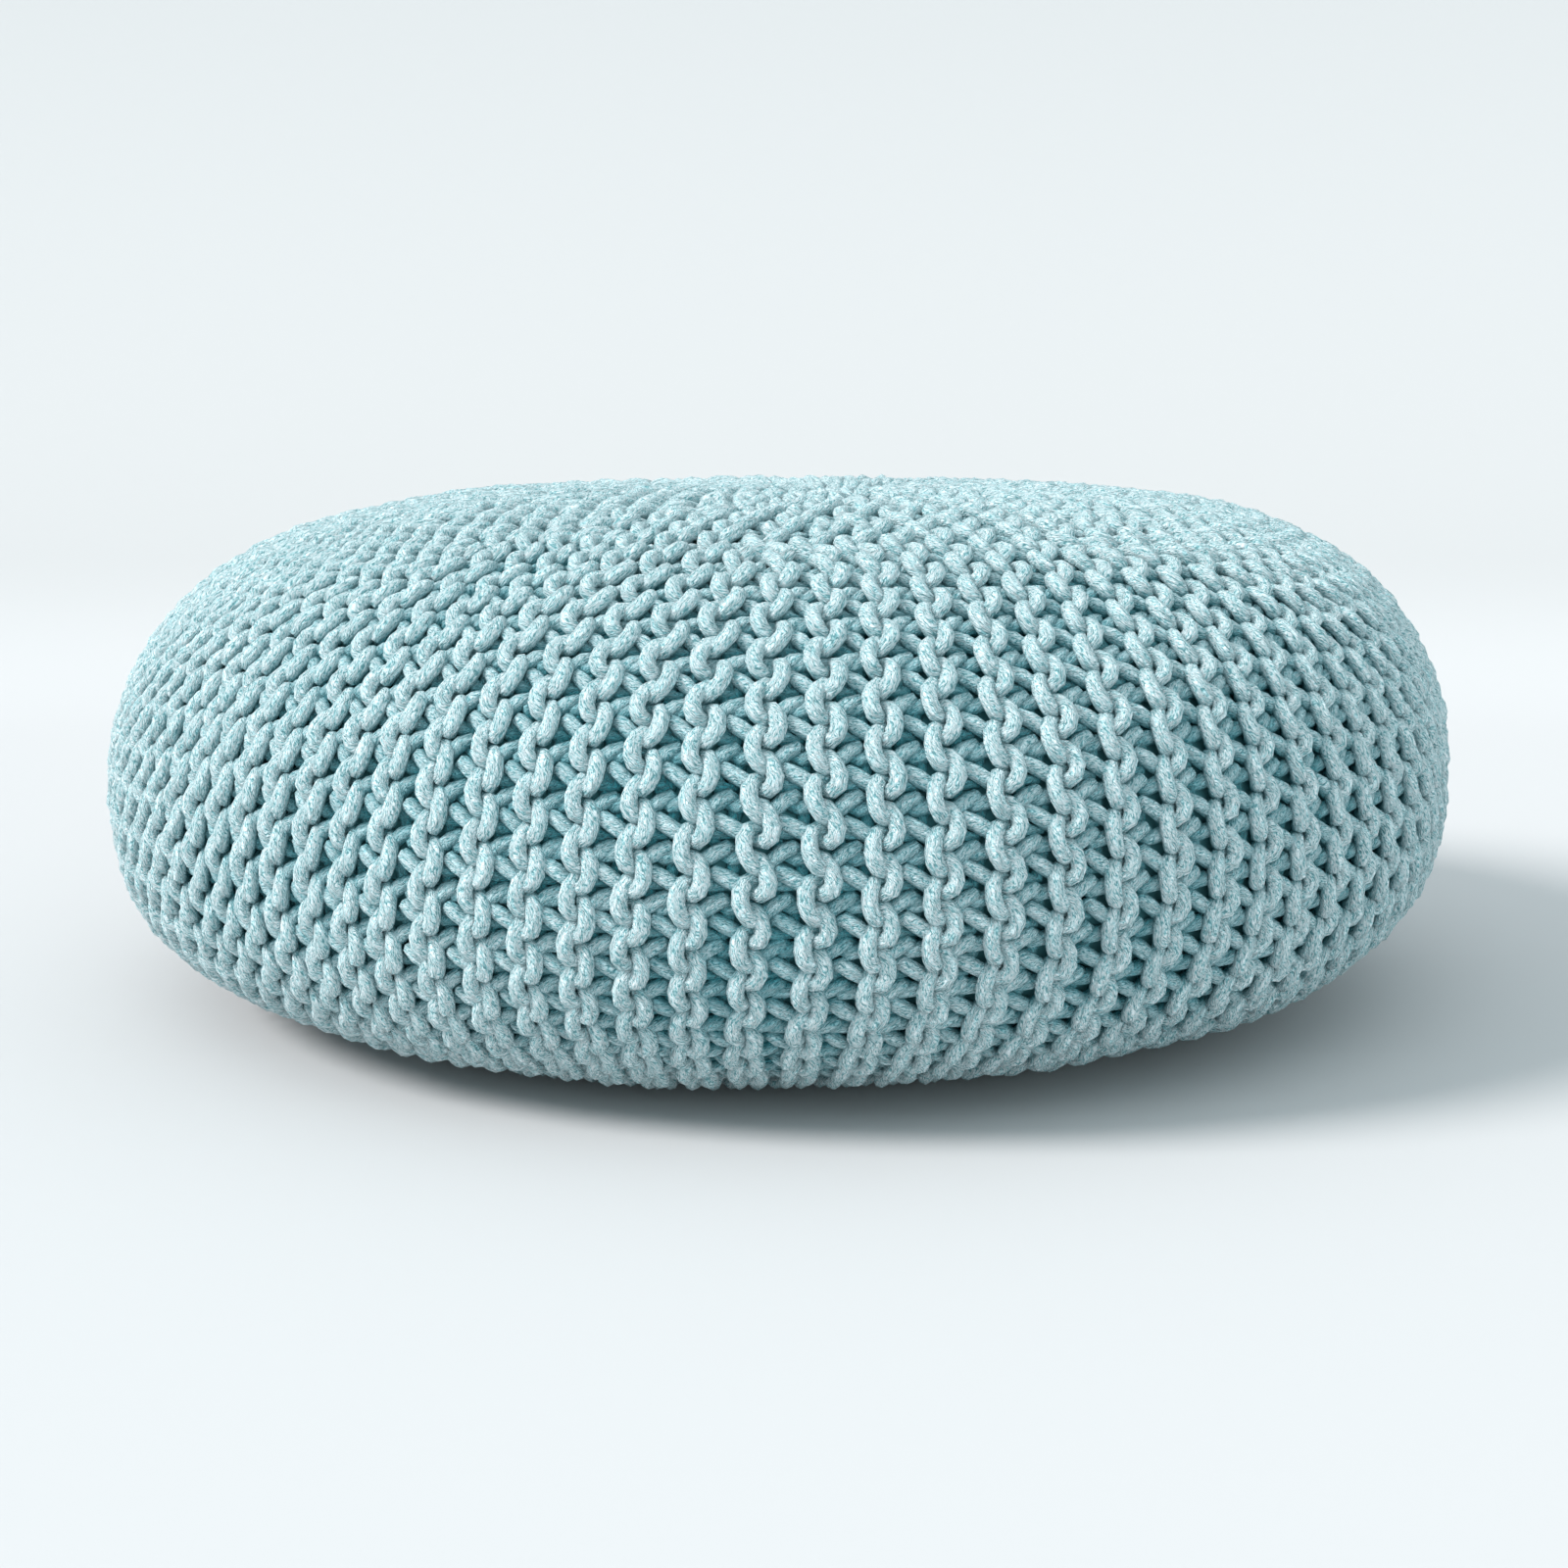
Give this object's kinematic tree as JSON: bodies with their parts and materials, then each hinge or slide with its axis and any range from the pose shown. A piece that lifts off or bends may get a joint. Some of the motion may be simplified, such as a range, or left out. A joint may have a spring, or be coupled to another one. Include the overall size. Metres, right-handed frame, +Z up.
{
  "type": "knitted pouf",
  "caption": "Wide, low, round floor pouf with a thick garter-stitch cotton cord cover, its ridges gathered on the crown and underneath.",
  "frame": {"origin": "centre of the pouf's footprint, on the floor", "axes": "+Z up through the crown, +X to the right and -Y towards the viewer as pictured"},
  "size_m": [0.8, 0.8, 0.3017],
  "materials": {
    "cotton_cord": "matt twisted cotton cord, pale blue-green"
  },
  "bodies": {
    "root": {"pouf_cover": "cotton_cord"}
  },
  "joints": []
}
